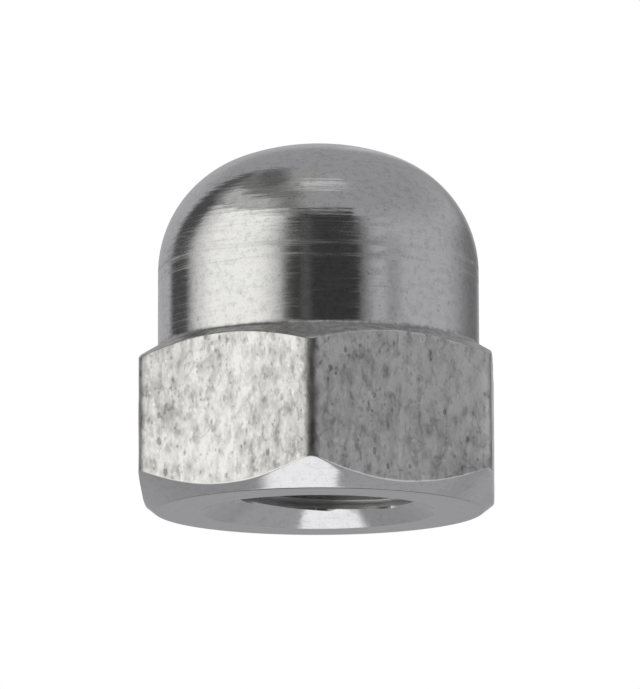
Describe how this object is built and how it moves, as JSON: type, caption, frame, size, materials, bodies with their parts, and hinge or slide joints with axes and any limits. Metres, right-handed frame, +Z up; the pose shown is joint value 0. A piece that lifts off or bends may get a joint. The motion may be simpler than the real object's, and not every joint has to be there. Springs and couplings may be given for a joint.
{
  "type": "cap nut",
  "caption": "Hexagon nut with a domed top over a blind threaded hole. It screws onto a stud or bolt end and covers it.",
  "frame": {"origin": "centre of the bearing face, which is the ring around the mouth of the threaded hole", "axes": "+Z up along the thread axis to the top of the dome; two corners of the hexagon lie on the Y axis and two flats face +X and -X"},
  "size_m": [0.0168, 0.0192, 0.018],
  "materials": {
    "bright_steel": "bright turned dome, chamfers and bearing face, with rougher mottled drawn flats"
  },
  "bodies": {
    "root": {"cap_nut": "bright_steel"}
  },
  "joints": []
}
